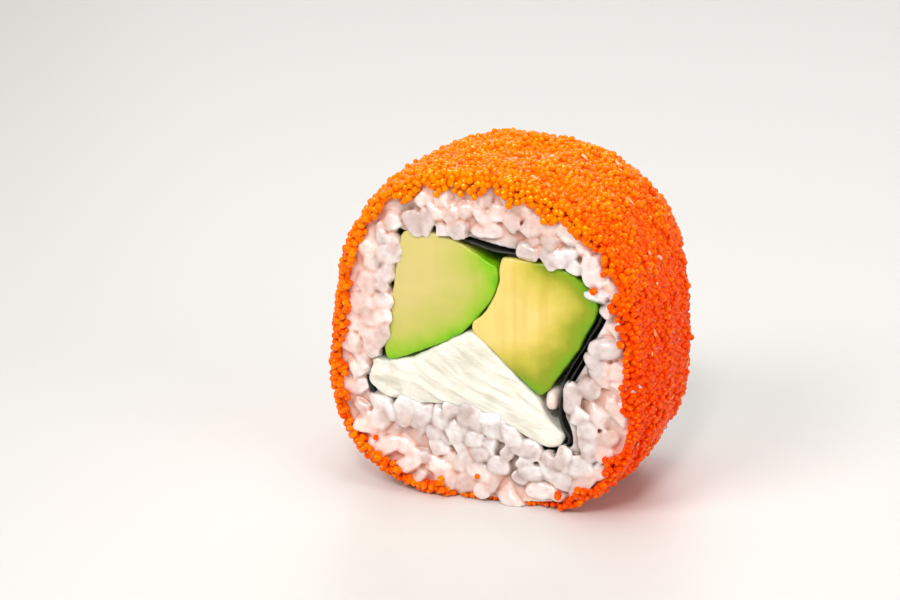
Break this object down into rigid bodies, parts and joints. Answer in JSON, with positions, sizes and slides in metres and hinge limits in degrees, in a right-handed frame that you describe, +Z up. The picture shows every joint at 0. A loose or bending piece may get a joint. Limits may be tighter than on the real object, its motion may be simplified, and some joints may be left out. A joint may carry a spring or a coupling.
{
  "type": "uramaki roll",
  "caption": "Cut piece of an inside-out sushi roll: avocado wedges and cream cheese wrapped in nori, then rice, with a coat of fish roe, standing on its side.",
  "frame": {"origin": "middle of the flat spot that the piece stands on, under the middle of the roll", "axes": "+Z up, Y along the roll's own axis with the cut face that the picture shows facing -Y, +X to the right seen from the front"},
  "size_m": [0.0461, 0.025, 0.0468],
  "materials": {
    "roe": "wet glossy fish eggs, bright orange",
    "rice": "moist cooked short-grain rice, milky and slightly glossy",
    "nori": "damp toasted seaweed sheet, nearly black with a green cast",
    "avocado_left": "smooth moist avocado flesh, khaki yellow to green at the skin side",
    "avocado_right": "smooth moist avocado flesh, warm yellow to green at the skin side",
    "cream_cheese": "soft cream cheese, ivory white with knife strokes"
  },
  "bodies": {
    "root": {"roe_coat": "roe", "rice": "rice", "nori": "nori", "avocado_left": "avocado_left", "avocado_right": "avocado_right", "cream_cheese": "cream_cheese", "stray_grain": "rice"}
  },
  "joints": []
}
